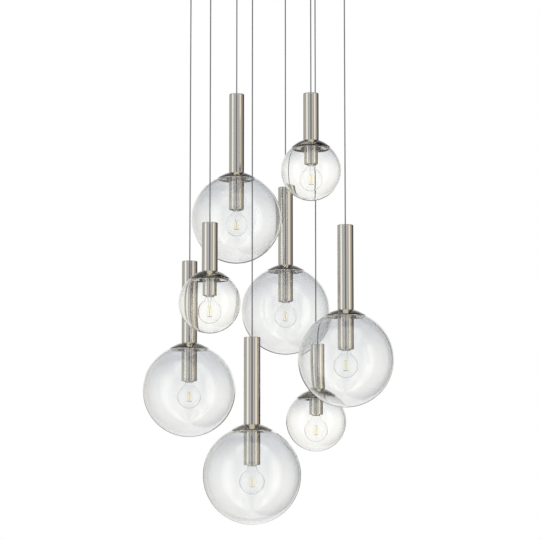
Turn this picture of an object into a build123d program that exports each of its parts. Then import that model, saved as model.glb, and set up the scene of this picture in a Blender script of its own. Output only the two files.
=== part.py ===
from build123d import *

import os
from dataclasses import dataclass
from math import cos, pi, radians, sin, sqrt

# Cluster pendant: five large and three small glass globes that hang on straight cords
# from one round ceiling canopy. Millimetres, +Z up. The origin is the middle of the
# crossbar's top face, on the ceiling. +Y points away from the viewer.

# ---- Canopy ----------------------------------------------------------------------
canopy_radius = 365.0
canopy_depth = 45.0
canopy_wall = 1.5
canopy_lip = 9.0  # width of the in-turned lip that lies on the ceiling
canopy_edge_radius = 6.0  # outer rounding between the wall and the floor

crossbar_length = 300.0
crossbar_width = 32.0
crossbar_thickness = 3.0
crossbar_wire_hole_radius = 6.0
box_screw_spacing = 88.9  # holes of a 4 inch ceiling box
box_screw_hole_radius = 2.4

canopy_screw_spacing = 264.0
canopy_screw_radius = 2.5
canopy_screw_head_radius = 8.0
canopy_screw_head_height = 11.0
thread_clearance = 0.05  # round each threaded shank

# ---- Cord exits: collar, nut and ball bushing ---------------------------------------
collar_shank_radius = 8.0
collar_flange_radius = 12.0
collar_flange_thickness = 4.0
collar_barrel_radius = 9.5
collar_mouth_radius = 4.6
collar_below_pivot = 9.0
collar_nut_width = 24.0  # across flats
collar_nut_height = 5.0
collar_shank_spare = 2.0  # thread that shows past the nut
pivot_below_canopy = 8.0  # from the canopy's underside to the centre of the ball
bushing_radius = 6.0
bushing_half_height = 4.5
seat_clearance = 0.3  # between the ball and its seat
hole_clearance = 0.2  # round what passes through sheet metal

# ---- Cord --------------------------------------------------------------------------
cord_radius = 2.0
cord_tail = 18.0  # above the pivot, inside the canopy
cord_bushing_clearance = 0.5
cord_hole_clearance = 0.3
ferrule_radius = 4.0
ferrule_height = 6.0
ferrule_clearance = 0.4  # the upper ferrule rocks this far above the ball

# ---- Stem ----------------------------------------------------------------------------
stem_radius = 26.0
stem_wall = 1.5
large_stem_length = 272.0
small_stem_length = 158.0
plug_flange_thickness = 4.0
plug_edge_chamfer = 1.0
plug_spigot_length = 14.0
plug_fit = 0.1

# ---- Cap and glass globe ---------------------------------------------------------------
cap_radius = 64.0
cap_wall = 1.5
large_cap_rise = 18.0
small_cap_rise = 23.0
large_globe_radius = 152.5  # 12 inch globe
small_globe_radius = 100.0  # 8 inch globe
glass_wall = 3.0
glass_hole_radius = 61.0
glass_clearance = 0.3  # between the glass and the metal above and below it
retainer_gap = 1.0  # round the retainer plate, in the hole of the glass
retainer_thickness = 1.5
clip_count = 3
clip_reach = 65.0
clip_root = 38.0
clip_width = 12.0
clip_thickness = 1.0

# ---- Socket cup, lampholder and lamp pipe ------------------------------------------------
large_cup_radius = 26.0
small_cup_radius = 23.0
large_cup_drop = 109.0  # from the cap's rim to the cup's lower edge
small_cup_drop = 57.0
cup_wall = 1.2
cup_mouth_radius = 17.0
cup_edge_radius = 3.0
holder_radius = 18.5
holder_length = 42.0
holder_recess = 3.0  # from the cup's lower edge to the holder's face
holder_thread_depth = 8.0
pipe_radius = 5.0
pipe_bore_radius = 3.2
pipe_above_cap = 9.0
pipe_nut_width = 15.0  # across flats
pipe_nut_height = 4.0

# ---- Bulb ----------------------------------------------------------------------------------
bulb_radius = 39.0  # 25/8 inch globe bulb
bulb_glass_length = 86.0
bulb_glass_wall = 0.8
bulb_neck_radius = 14.0
bulb_base_radius = 13.1
bulb_base_length = 25.0
bulb_collar_length = 5.5
bulb_base_show = 4.0  # of the base, below the cup's lower edge
base_tip_radius = 5.0
base_tip_height = 4.0
base_clearance = 0.3
mount_flare_radius = 8.0
mount_tip_radius = 3.5
mount_length = 31.0
mount_disc_radius = 6.5
mount_disc_thickness = 1.2
mount_wire_radius = 0.5
filament_count = 4
filament_radius = 1.2
filament_top_circle = 5.0  # radius of the circle of upper ends
filament_foot_circle = 10.5  # radius of the circle of lower ends
filament_drop = 30.0
filament_gap = 0.2


@dataclass
class Size:
    """What differs between the large and the small pendant."""

    globe_radius: float
    stem_length: float
    cap_rise: float
    cup_radius: float
    cup_drop: float


LARGE = Size(large_globe_radius, large_stem_length, large_cap_rise, large_cup_radius, large_cup_drop)
SMALL = Size(small_globe_radius, small_stem_length, small_cap_rise, small_cup_radius, small_cup_drop)

# One pendant to a line, from left to right: its size, where its cord leaves the canopy
# in x and y, and how far its stem's top hangs below the ceiling.
PENDANTS = [
    (LARGE, -247, 50, 1044),
    (SMALL, -175, -126, 939),
    (LARGE, -94, 174, 454),
    (LARGE, -36, -300, 1325),
    (LARGE, 74, 324, 753),
    (SMALL, 156, -15, 490),
    (SMALL, 174, 133, 1312),
    (LARGE, 261, -210, 958),
]

canopy_floor = -canopy_depth + canopy_wall  # inner face
pivot_height = -canopy_depth - pivot_below_canopy
collar_places = [(x, y) for _, x, y, _ in PENDANTS]
screw_places = [(0, -canopy_screw_spacing / 2), (0, canopy_screw_spacing / 2)]


class Pendant:
    """The heights and the axis of one hanging pendant, worked out from its size."""

    def __init__(self, size, x, y, drop):
        self.size = size
        self.x = x
        self.y = y
        self.axis = Axis((x, y, 0), (0, 0, 1))
        self.section = Plane(origin=(x, y, 0), x_dir=(1, 0, 0), z_dir=(0, -1, 0))
        self.stem_top = -drop
        self.cap_top = self.stem_top - size.stem_length
        self.rim = self.cap_top - size.cap_rise
        self.cap_centre = self.rim + (stem_radius**2 + size.cap_rise**2 - cap_radius**2) / (2 * size.cap_rise)
        self.cap_sphere = sqrt(cap_radius**2 + (self.rim - self.cap_centre) ** 2)
        rim_bore = sqrt((self.cap_sphere - cap_wall) ** 2 - (self.rim - self.cap_centre) ** 2)
        self.rim_bore = rim_bore
        self.globe = self.rim - glass_clearance - sqrt(size.globe_radius**2 - rim_bore**2)
        glass_inside = sqrt((size.globe_radius - glass_wall) ** 2 - clip_reach**2)
        self.retainer = self.globe + glass_inside - glass_clearance  # underside of the plate
        self.cup_bottom = self.rim - size.cup_drop
        self.holder_bottom = self.cup_bottom + holder_recess
        self.holder_top = self.holder_bottom + holder_length
        self.pipe_bottom = self.holder_top - holder_thread_depth
        self.neck = self.cup_bottom - bulb_base_show
        self.bulb = self.neck - bulb_glass_length + bulb_radius
        self.plug_bottom = self.stem_top - plug_flange_thickness - plug_spigot_length


def arc_about(centre, start, end):
    """The shorter arc about centre from start to end, in the open sketch."""
    middle = Vector(*centre)
    first = Vector(*start) - middle
    last = Vector(*end) - middle
    crown = middle + (first + last).normalized() * first.length
    return ThreePointArc(start, crown, end)


def group(label, *pieces):
    """Separate solids that share one node."""
    solids = [solid for piece in pieces for solid in piece.part.solids()]
    return Compound(label=label, children=solids)


def hex_nut(x, y, bottom, height, width, bore):
    """A hexagon nut, by its lower face and its width across flats."""
    with BuildPart() as nut:
        with BuildSketch(Plane.XY.offset(bottom)):
            with Locations((x, y)):
                RegularPolygon(width / 2, 6, major_radius=False)
                Circle(bore, mode=Mode.SUBTRACT)
        extrude(amount=height)
    return nut


# ---- Canopy pieces -------------------------------------------------------------------------


def make_canopy_pan():
    with BuildPart() as canopy_pan:
        with BuildSketch(Plane.XZ) as section:
            with BuildLine():
                Polyline(
                    (0, -canopy_depth),
                    (canopy_radius, -canopy_depth),
                    (canopy_radius, 0),
                    (canopy_radius - canopy_lip, 0),
                    (canopy_radius - canopy_lip, -canopy_wall),
                    (canopy_radius - canopy_wall, -canopy_wall),
                    (canopy_radius - canopy_wall, canopy_floor),
                    (0, canopy_floor),
                    close=True,
                )
            make_face()
            outer_edge = section.vertices().sort_by_distance((canopy_radius, -canopy_depth))[0]
            fillet(outer_edge, canopy_edge_radius)
            inner_edge = section.vertices().sort_by_distance((canopy_radius - canopy_wall, canopy_floor))[0]
            fillet(inner_edge, canopy_edge_radius - canopy_wall)
        revolve(axis=Axis.Z)
        with Locations(*[(x, y, canopy_floor) for x, y in collar_places]):
            Hole(collar_shank_radius + hole_clearance, depth=2 * canopy_wall)
        with Locations(*[(x, y, canopy_floor) for x, y in screw_places]):
            Hole(canopy_screw_radius + hole_clearance, depth=2 * canopy_wall)
    return canopy_pan


def make_crossbar():
    with BuildPart() as crossbar:
        with BuildSketch(Plane.XY.offset(-crossbar_thickness)):
            RectangleRounded(crossbar_width, crossbar_length, crossbar_width / 4)
            Circle(crossbar_wire_hole_radius, mode=Mode.SUBTRACT)
            with Locations((0, -box_screw_spacing / 2), (0, box_screw_spacing / 2)):
                Circle(box_screw_hole_radius, mode=Mode.SUBTRACT)
            with Locations(*screw_places):
                Circle(canopy_screw_radius + thread_clearance, mode=Mode.SUBTRACT)
        extrude(amount=crossbar_thickness)
    return crossbar


def make_canopy_screws():
    """Two ball-headed screws that hold the canopy up against the ceiling."""
    with BuildPart() as canopy_screws:
        with BuildSketch(Plane.XY.offset(-canopy_depth)):
            with Locations(*screw_places):
                Circle(canopy_screw_radius)
        extrude(amount=canopy_depth)
        with BuildSketch(Plane.XY.offset(-canopy_depth - canopy_screw_head_height)):
            with Locations(*screw_places):
                Circle(canopy_screw_head_radius)
        extrude(amount=canopy_screw_head_height)
        heads = canopy_screws.edges().filter_by(GeomType.CIRCLE).group_by(Axis.Z)[0]
        fillet(heads, canopy_screw_head_radius * 0.6)
    return canopy_screws


def make_cord_collar(x, y):
    """The collar that a cord leaves through. Its seat is half a sphere, open above."""
    seat = bushing_radius + seat_clearance
    seat_mouth = pivot_height - sqrt(seat**2 - collar_mouth_radius**2)
    top = canopy_floor + collar_nut_height + collar_shank_spare
    flange_bottom = -canopy_depth - collar_flange_thickness
    bottom = pivot_height - collar_below_pivot
    with BuildPart() as collar:
        with BuildSketch(Plane(origin=(x, y, 0), x_dir=(1, 0, 0), z_dir=(0, -1, 0))):
            with BuildLine():
                Polyline(
                    (seat, pivot_height),
                    (seat, top),
                    (collar_shank_radius, top),
                    (collar_shank_radius, -canopy_depth),
                    (collar_flange_radius, -canopy_depth),
                    (collar_flange_radius, flange_bottom),
                    (collar_barrel_radius, flange_bottom),
                    (collar_barrel_radius, bottom),
                    (collar_mouth_radius, bottom),
                    (collar_mouth_radius, seat_mouth),
                )
                arc_about((0, pivot_height), (collar_mouth_radius, seat_mouth), (seat, pivot_height))
            make_face()
        revolve(axis=Axis((x, y, 0), (0, 0, 1)))
    return collar


def make_collar_nut(x, y):
    bore = collar_shank_radius + thread_clearance
    return hex_nut(x, y, canopy_floor, collar_nut_height, collar_nut_width, bore)


# ---- Pendant pieces ------------------------------------------------------------------------


def make_grip_bushing(pendant):
    """The nylon ball that lets the cord swing in its collar."""
    bore = cord_radius + cord_bushing_clearance
    flat = sqrt(bushing_radius**2 - bushing_half_height**2)
    top = pivot_height + bushing_half_height
    bottom = pivot_height - bushing_half_height
    with BuildPart() as grip_bushing:
        with BuildSketch(pendant.section):
            with BuildLine():
                Polyline((flat, bottom), (bore, bottom), (bore, top), (flat, top))
                arc_about((0, pivot_height), (flat, top), (flat, bottom))
            make_face()
        revolve(axis=pendant.axis)
    return grip_bushing


def make_cord(pendant):
    """The straight cord, from its tail in the canopy down into the lampholder."""
    length = pivot_height + cord_tail - pendant.pipe_bottom
    with BuildPart() as cord:
        with BuildSketch(Plane.XY.offset(pendant.pipe_bottom)):
            with Locations((pendant.x, pendant.y)):
                Circle(cord_radius)
        extrude(amount=length)
    return cord


def make_ferrules(pendant):
    """Two crimped rings: one rests on the ball, the other carries the stem's plug."""
    with BuildPart() as ferrules:
        upper = pivot_height + bushing_half_height + ferrule_clearance
        lower = pendant.plug_bottom - ferrule_height
        for bottom in (upper, lower):
            with BuildSketch(Plane.XY.offset(bottom)):
                with Locations((pendant.x, pendant.y)):
                    Circle(ferrule_radius)
                    Circle(cord_radius, mode=Mode.SUBTRACT)
            extrude(amount=ferrule_height)
    return ferrules


def make_stem_tube(pendant):
    with BuildPart() as stem_tube:
        with BuildSketch(Plane.XY.offset(pendant.cap_top)):
            with Locations((pendant.x, pendant.y)):
                Circle(stem_radius)
                Circle(stem_radius - stem_wall, mode=Mode.SUBTRACT)
        extrude(amount=pendant.size.stem_length - plug_flange_thickness)
    return stem_tube


def make_stem_plug(pendant):
    """The plug that closes the stem's top. Its bore guides the cord."""
    spigot = stem_radius - stem_wall - plug_fit
    bore = cord_radius + cord_hole_clearance
    shoulder = pendant.stem_top - plug_flange_thickness
    with BuildPart() as stem_plug:
        with BuildSketch(pendant.section):
            with BuildLine():
                Polyline(
                    (bore, pendant.plug_bottom),
                    (spigot, pendant.plug_bottom),
                    (spigot, shoulder),
                    (stem_radius, shoulder),
                    (stem_radius, pendant.stem_top - plug_edge_chamfer),
                    (stem_radius - plug_edge_chamfer, pendant.stem_top),
                    (bore, pendant.stem_top),
                    close=True,
                )
            make_face()
        revolve(axis=pendant.axis)
    return stem_plug


def make_cap_dome(pendant):
    """The domed cap: part of a sphere, with a flat crown for the stem."""
    bore = pipe_radius + hole_clearance
    centre = (0, pendant.cap_centre)
    inside = pendant.cap_sphere - cap_wall
    crown_below = pendant.cap_top - cap_wall
    crown_reach = sqrt(inside**2 - (crown_below - pendant.cap_centre) ** 2)
    with BuildPart() as cap_dome:
        with BuildSketch(pendant.section):
            with BuildLine():
                arc_about(centre, (cap_radius, pendant.rim), (stem_radius, pendant.cap_top))
                Polyline(
                    (stem_radius, pendant.cap_top),
                    (bore, pendant.cap_top),
                    (bore, crown_below),
                    (crown_reach, crown_below),
                )
                arc_about(centre, (crown_reach, crown_below), (pendant.rim_bore, pendant.rim))
                Line((pendant.rim_bore, pendant.rim), (cap_radius, pendant.rim))
            make_face()
        revolve(axis=pendant.axis)
    return cap_dome


def make_glass_retainer(pendant):
    """The plate in the hole of the glass, with spring clips under the glass's edge."""
    with BuildPart() as glass_retainer:
        with BuildSketch(Plane.XY.offset(pendant.retainer)):
            with Locations((pendant.x, pendant.y)):
                Circle(glass_hole_radius - retainer_gap)
                Circle(pipe_radius + hole_clearance, mode=Mode.SUBTRACT)
        extrude(amount=retainer_thickness)
        with BuildSketch(Plane.XY.offset(pendant.retainer)):
            with Locations((pendant.x, pendant.y)):
                with PolarLocations((clip_root + clip_reach) / 2, clip_count, start_angle=90):
                    Rectangle(clip_reach - clip_root, clip_width)
        extrude(amount=-clip_thickness)
    return glass_retainer


def make_glass_globe(pendant):
    """A blown sphere of clear glass with one round hole at its top."""
    outside = pendant.size.globe_radius
    inside = outside - glass_wall
    centre = (0, pendant.globe)
    outer_edge = (glass_hole_radius, pendant.globe + sqrt(outside**2 - glass_hole_radius**2))
    inner_edge = (glass_hole_radius, pendant.globe + sqrt(inside**2 - glass_hole_radius**2))
    with BuildPart() as glass_globe:
        with BuildSketch(pendant.section):
            with BuildLine():
                arc_about(centre, (0, pendant.globe - outside), outer_edge)
                Line(outer_edge, inner_edge)
                arc_about(centre, inner_edge, (0, pendant.globe - inside))
                Line((0, pendant.globe - inside), (0, pendant.globe - outside))
            make_face()
        revolve(axis=pendant.axis)
    return glass_globe


def make_socket_cup(pendant):
    """The cup that hides the lampholder. Its lower edge turns in round the bulb's base."""
    outside = pendant.size.cup_radius
    inside = outside - cup_wall
    bore = pipe_radius + hole_clearance
    top = pendant.retainer
    bottom = pendant.cup_bottom
    with BuildPart() as socket_cup:
        with BuildSketch(pendant.section):
            with BuildLine():
                Polyline(
                    (bore, top),
                    (outside, top),
                    (outside, bottom + cup_edge_radius),
                )
                arc_about(
                    (outside - cup_edge_radius, bottom + cup_edge_radius),
                    (outside, bottom + cup_edge_radius),
                    (outside - cup_edge_radius, bottom),
                )
                Polyline(
                    (outside - cup_edge_radius, bottom),
                    (cup_mouth_radius, bottom),
                    (cup_mouth_radius, bottom + cup_wall),
                    (outside - cup_edge_radius, bottom + cup_wall),
                )
                arc_about(
                    (outside - cup_edge_radius, bottom + cup_edge_radius),
                    (outside - cup_edge_radius, bottom + cup_wall),
                    (inside, bottom + cup_edge_radius),
                )
                Polyline(
                    (inside, bottom + cup_edge_radius),
                    (inside, top - cup_wall),
                    (bore, top - cup_wall),
                    (bore, top),
                )
            make_face()
        revolve(axis=pendant.axis)
    return socket_cup


def make_lampholder(pendant):
    """The porcelain holder. The bulb's base fills it from below, the pipe from above."""
    socket = bulb_base_radius + base_clearance
    socket_top = pendant.neck + bulb_base_length + base_clearance
    with BuildPart() as lampholder:
        with BuildSketch(pendant.section):
            with BuildLine():
                Polyline(
                    (socket, pendant.holder_bottom),
                    (holder_radius, pendant.holder_bottom),
                    (holder_radius, pendant.holder_top),
                    (pipe_radius, pendant.holder_top),
                    (pipe_radius, pendant.pipe_bottom),
                    (0, pendant.pipe_bottom),
                    (0, socket_top),
                    (socket, socket_top),
                    close=True,
                )
            make_face()
        revolve(axis=pendant.axis)
    return lampholder


def make_lamp_pipe(pendant):
    """The threaded pipe that clamps cap, retainer, cup and lampholder in one stack."""
    with BuildPart() as lamp_pipe:
        with BuildSketch(Plane.XY.offset(pendant.pipe_bottom)):
            with Locations((pendant.x, pendant.y)):
                Circle(pipe_radius)
                Circle(pipe_bore_radius, mode=Mode.SUBTRACT)
        extrude(amount=pendant.cap_top + pipe_above_cap - pendant.pipe_bottom)
    return lamp_pipe


def make_pipe_nuts(pendant):
    """Nuts above and below the cap's crown, above the retainer and in the cup."""
    bottoms = (
        pendant.cap_top,
        pendant.cap_top - cap_wall - pipe_nut_height,
        pendant.retainer + retainer_thickness,
        pendant.retainer - cup_wall - pipe_nut_height,
    )
    bore = pipe_radius + thread_clearance
    return [
        hex_nut(pendant.x, pendant.y, bottom, pipe_nut_height, pipe_nut_width, bore) for bottom in bottoms
    ]


def make_bulb_glass(pendant):
    """A sphere that runs into its neck through a hollow curve, tangent to both."""
    rise = pendant.neck - pendant.bulb
    hollow = (bulb_neck_radius**2 + rise**2 - bulb_radius**2) / (2 * (bulb_radius - bulb_neck_radius))
    hollow_centre = (bulb_neck_radius + hollow, pendant.neck)
    centre = (0, pendant.bulb)

    def meeting(radius):
        """Where the sphere of this radius meets the hollow curve."""
        share = radius / (bulb_radius + hollow)
        return ((bulb_neck_radius + hollow) * share, pendant.bulb + rise * share)

    outer_meeting = meeting(bulb_radius)
    inner_meeting = meeting(bulb_radius - bulb_glass_wall)
    outer_neck = (bulb_neck_radius, pendant.neck)
    inner_neck = (bulb_neck_radius - bulb_glass_wall, pendant.neck)
    outer_pole = (0, pendant.bulb - bulb_radius)
    inner_pole = (0, pendant.bulb - bulb_radius + bulb_glass_wall)
    with BuildPart() as bulb_glass:
        with BuildSketch(pendant.section):
            with BuildLine():
                arc_about(centre, outer_pole, outer_meeting)
                arc_about(hollow_centre, outer_meeting, outer_neck)
                Line(outer_neck, inner_neck)
                arc_about(hollow_centre, inner_neck, inner_meeting)
                arc_about(centre, inner_meeting, inner_pole)
                Line(inner_pole, outer_pole)
            make_face()
        revolve(axis=pendant.axis)
    return bulb_glass


def make_bulb_base(pendant):
    """The screw base, with its collar on the glass and its contact at the top."""
    top = pendant.neck + bulb_base_length
    with BuildPart() as bulb_base:
        with BuildSketch(pendant.section):
            with BuildLine():
                Polyline(
                    (0, pendant.neck),
                    (bulb_neck_radius, pendant.neck),
                    (bulb_neck_radius, pendant.neck + bulb_collar_length),
                    (bulb_base_radius, pendant.neck + bulb_collar_length),
                    (bulb_base_radius, top - base_tip_height),
                    (base_tip_radius, top),
                    (0, top),
                    close=True,
                )
            make_face()
        revolve(axis=pendant.axis)
    return bulb_base


def make_filament_mount(pendant):
    """The glass stem inside the bulb, with the wire and the cross that hold the filaments."""
    disc_top = pendant.neck - mount_length
    disc_bottom = disc_top - mount_disc_thickness
    foot = disc_bottom - filament_drop - 2 * filament_gap
    cross = 2 * mount_wire_radius
    with BuildPart() as filament_mount:
        with BuildSketch(pendant.section):
            with BuildLine():
                Polyline(
                    (0, pendant.neck),
                    (mount_flare_radius, pendant.neck),
                    (mount_tip_radius, disc_top),
                    (mount_disc_radius, disc_top),
                    (mount_disc_radius, disc_bottom),
                    (mount_wire_radius, disc_bottom),
                    (mount_wire_radius, foot),
                    (0, foot),
                    close=True,
                )
            make_face()
        revolve(axis=pendant.axis)
        with BuildSketch(Plane.XY.offset(foot)):
            with Locations((pendant.x, pendant.y)):
                with PolarLocations(filament_foot_circle / 2, filament_count, start_angle=45):
                    Rectangle(filament_foot_circle, cross)
        extrude(amount=-cross)
    return filament_mount


def make_filaments(pendant):
    """Straight light-emitting rods that lean outwards towards their feet."""
    head = pendant.neck - mount_length - mount_disc_thickness - filament_gap
    lean = filament_foot_circle - filament_top_circle
    cut = filament_radius * lean / filament_drop  # the round ends are square to the rod
    with BuildPart() as filaments:
        for turn in range(filament_count):
            angle = radians(45 + turn * 360 / filament_count)
            way = Vector(cos(angle), sin(angle), 0)
            start = Vector(pendant.x, pendant.y, head - cut) + way * filament_top_circle
            run = way * lean - Vector(0, 0, filament_drop - 2 * cut)
            with BuildSketch(Plane(origin=start, z_dir=run)):
                Circle(filament_radius)
            extrude(amount=run.length)
    return filaments


# ---- The nodes ------------------------------------------------------------------------------


def single(label, piece):
    piece.part.label = label
    return piece.part


def canopy_nodes():
    collars = [make_cord_collar(x, y) for x, y in collar_places]
    nuts = [make_collar_nut(x, y) for x, y in collar_places]
    return [
        single("canopy_pan", make_canopy_pan()),
        single("crossbar", make_crossbar()),
        single("canopy_screws", make_canopy_screws()),
        group("cord_collars", *collars, *nuts),
    ]


def pendant_nodes(number, pendant):
    pipe_stack = [make_lampholder(pendant), make_lamp_pipe(pendant), *make_pipe_nuts(pendant)]
    bulb_pieces = [make_bulb_base(pendant), make_filament_mount(pendant), make_filaments(pendant)]
    return [
        single(f"grip_bushing_{number}", make_grip_bushing(pendant)),
        group(f"cord_{number}", make_cord(pendant), make_ferrules(pendant)),
        group(f"stem_{number}", make_stem_tube(pendant), make_stem_plug(pendant)),
        group(f"cap_{number}", make_cap_dome(pendant), make_glass_retainer(pendant)),
        single(f"glass_globe_{number}", make_glass_globe(pendant)),
        group(f"socket_cup_{number}", make_socket_cup(pendant), *pipe_stack),
        group(f"bulb_{number}", make_bulb_glass(pendant), *bulb_pieces),
    ]


pendants = [Pendant(*row) for row in PENDANTS]
nodes = canopy_nodes()
for number, pendant in enumerate(pendants, start=1):
    nodes += pendant_nodes(number, pendant)
    cord = make_cord(pendant).part
    length = pivot_height + cord_tail - pendant.pipe_bottom
    share = cord.volume / (pi * cord_radius**2 * length)
    print(f"cord_{number}: straight, {length:.0f} mm long, volume over section times length {share:.4f}")

os.makedirs("parts", exist_ok=True)
for node in nodes:
    export_step(node, f"parts/{node.label}.step")
print(len(nodes), "nodes")
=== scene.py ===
"""The looks of a cluster pendant light, built round its CAD frame: nickel, clear glass, bulbs and cords."""

from math import asin, atan2, cos, pi, radians, sin, sqrt, tau

import bpy
from bpy.props import FloatProperty, FloatVectorProperty, IntProperty, PointerProperty
from bpy.types import NodeSocket, Operator, Panel, PropertyGroup
from mathutils import Matrix, Vector


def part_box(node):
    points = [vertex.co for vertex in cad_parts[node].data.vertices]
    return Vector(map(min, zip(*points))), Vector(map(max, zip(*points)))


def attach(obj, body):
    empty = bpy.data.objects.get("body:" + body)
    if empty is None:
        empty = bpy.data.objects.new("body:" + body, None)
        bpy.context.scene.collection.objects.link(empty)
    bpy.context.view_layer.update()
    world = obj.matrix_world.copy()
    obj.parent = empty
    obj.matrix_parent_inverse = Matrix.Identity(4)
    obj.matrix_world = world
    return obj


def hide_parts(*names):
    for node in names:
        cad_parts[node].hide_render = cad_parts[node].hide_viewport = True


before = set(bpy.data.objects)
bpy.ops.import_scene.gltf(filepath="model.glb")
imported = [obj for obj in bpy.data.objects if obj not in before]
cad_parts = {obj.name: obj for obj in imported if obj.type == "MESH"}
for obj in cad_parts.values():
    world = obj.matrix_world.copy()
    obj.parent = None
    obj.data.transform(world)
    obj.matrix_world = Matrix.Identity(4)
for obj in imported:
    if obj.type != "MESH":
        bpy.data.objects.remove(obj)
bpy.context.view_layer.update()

bl_info = {
    "name": "Cluster Pendant",
    "version": (1, 0, 0),
    "blender": (4, 5, 0),
    "location": "3D View > Sidebar > Cluster Pendant",
    "description": "Builds a cluster of glass globe pendants round the CAD frame of its canopy and stems",
    "category": "Object",
}

# Lengths are in metres.
PENDANTS = range(1, 9)
LARGE_GLOBE = 0.125  # a globe of a larger radius than this is a large one
WELD = 1e-6  # points nearer than this are one point
RING = 0.001  # a ring of points this near a rounded edge keeps the shading of the face beside it flat
PASSAGE = 0.0002  # clearance round a shank in sheet metal, and of a tool past the piece that it cuts
THREAD_FIT = 0.00005  # clearance between a nut and its thread


# ---- Properties ----


def setting(kind, text, default, **options):
    """A property that waits for its label."""
    return lambda label: kind(name=label, description=text, default=default, **options)


def mm(text, millimetres):
    return setting(FloatProperty, text, millimetres / 1000, unit="LENGTH", precision=5)


def amount(text, default, unit="NONE"):
    return setting(FloatProperty, text, default, unit=unit)


def colour(text, *rgb):
    return setting(FloatVectorProperty, text, rgb, subtype="COLOR", size=3, min=0, max=1)


def labelled(group):
    """Labels each property of a group with the property's own name."""
    for name, make in group.__annotations__.items():
        group.__annotations__[name] = make(name.replace("_", " ").capitalize())
    return group


@labelled
class CanopySizes(PropertyGroup):
    """Sizes of the canopy and of the fittings that the cords leave it through."""

    wall: mm("Thickness of the canopy's sheet metal", 1.5)
    lip: mm("Width of the lip that lies on the ceiling", 9)
    edge: mm("Rounding between the canopy's wall and its floor", 6)
    screw_spacing: mm("Between the two ball-headed screws", 264)
    screw_radius: mm("Radius of the screws' shanks", 2.5)
    head_radius: mm("Radius of the screws' ball heads", 8)
    head_height: mm("Height of the screws' ball heads", 11)
    below_pivot: mm("From the ball's centre to the collar's lower face", 9)
    above_pivot: mm("From the ball's centre to the top of the collar's shank", 16.5)
    pivot_depth: mm("From the canopy's underside to the ball's centre", 8)
    flange: mm("Radius of the collar's flange", 12)
    flange_height: mm("Thickness of the collar's flange", 4)
    barrel: mm("Radius of the collar below its flange", 9.5)
    shank: mm("Radius of the collar's threaded shank", 8)
    seat: mm("Radius of the collar's ball seat", 6.3)
    mouth: mm("Radius of the collar's lower opening", 4.6)
    nut_width: mm("Width of the collar's nut across its flats", 24)
    nut_height: mm("Height of the collar's nut", 5)
    ball: mm("Radius of the nylon ball on the cord", 6)
    ball_half: mm("Half the height of the nylon ball", 4.5)
    ball_bore: mm("Radius of the ball's bore", 2.5)


@labelled
class CordSizes(PropertyGroup):
    """Sizes of the cords and of the ferrules crimped on them."""

    radius: mm("Half the thickness of the cord", 2)
    tail: mm("Cord above the ball's centre, inside the canopy", 18)
    ferrule: mm("Outer radius of a crimped ferrule", 4)
    ferrule_height: mm("Height of a crimped ferrule", 6)
    ferrule_waist: mm("Depth of the crimp round a ferrule", 0.6)
    ferrule_gap: mm("From the ball to the upper ferrule", 0.4)


@labelled
class PendantSizes(PropertyGroup):
    """Sizes of one pendant that the CAD boxes don't tell."""

    stem_wall: mm("Thickness of the stem's tube", 1.5)
    plug_flange: mm("Thickness of the plug's flange on top of the stem", 4)
    plug_chamfer: mm("Chamfer on the plug's upper edge", 1)
    plug_spigot: mm("Length of the plug inside the stem", 14)
    plug_bore: mm("Radius of the hole that guides the cord", 2.3)
    large_rise: mm("Height of the cap's dome on the large pendants", 18)
    small_rise: mm("Height of the cap's dome on the small pendants", 23)
    cap_wall: mm("Thickness of the cap's sheet metal", 1.5)
    pipe: mm("Radius of the threaded lamp pipe", 5)
    pipe_bore: mm("Radius of the lamp pipe's bore", 3.2)
    pipe_above: mm("Lamp pipe above the cap, inside the stem", 9)
    pipe_hole: mm("Radius of the holes that the lamp pipe passes through", 5.2)
    nut_width: mm("Width of a lamp pipe nut across its flats", 15)
    nut_height: mm("Height of a lamp pipe nut", 4)
    glass_wall: mm("Thickness of the globe's glass", 3)
    glass_hole: mm("Radius of the hole in the top of the globe", 61)
    glass_gap: mm("Clearance between the glass and the metal", 0.3)
    plate: mm("Radius of the plate in the glass's hole", 60)
    plate_height: mm("Thickness of the retainer's plate", 1.5)
    clip_reach: mm("How far the spring clips reach from the axis", 65)
    clip_root: mm("Where the spring clips begin on the plate", 38)
    clip_width: mm("Width of a spring clip", 12)
    clip_height: mm("Thickness of a spring clip", 1)
    rivet: mm("Radius of a rivet's head", 2.5)
    rivet_height: mm("Height of a rivet's head", 0.9)
    rivet_inset: mm("From the root of a spring clip to its rivet", 8)
    cup_wall: mm("Thickness of the socket cup", 1.2)
    cup_mouth: mm("Radius of the opening in the socket cup's foot", 17)
    cup_edge: mm("Rounding of the socket cup's lower edge", 3)
    holder: mm("Radius of the porcelain lampholder", 18.5)
    holder_length: mm("Length of the porcelain lampholder", 42)
    holder_recess: mm("From the cup's foot to the lampholder's face", 3)
    holder_thread: mm("Depth of the lamp pipe in the lampholder", 8)
    holder_gap: mm("Clearance round the bulb's base in the lampholder", 0.3)


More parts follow.
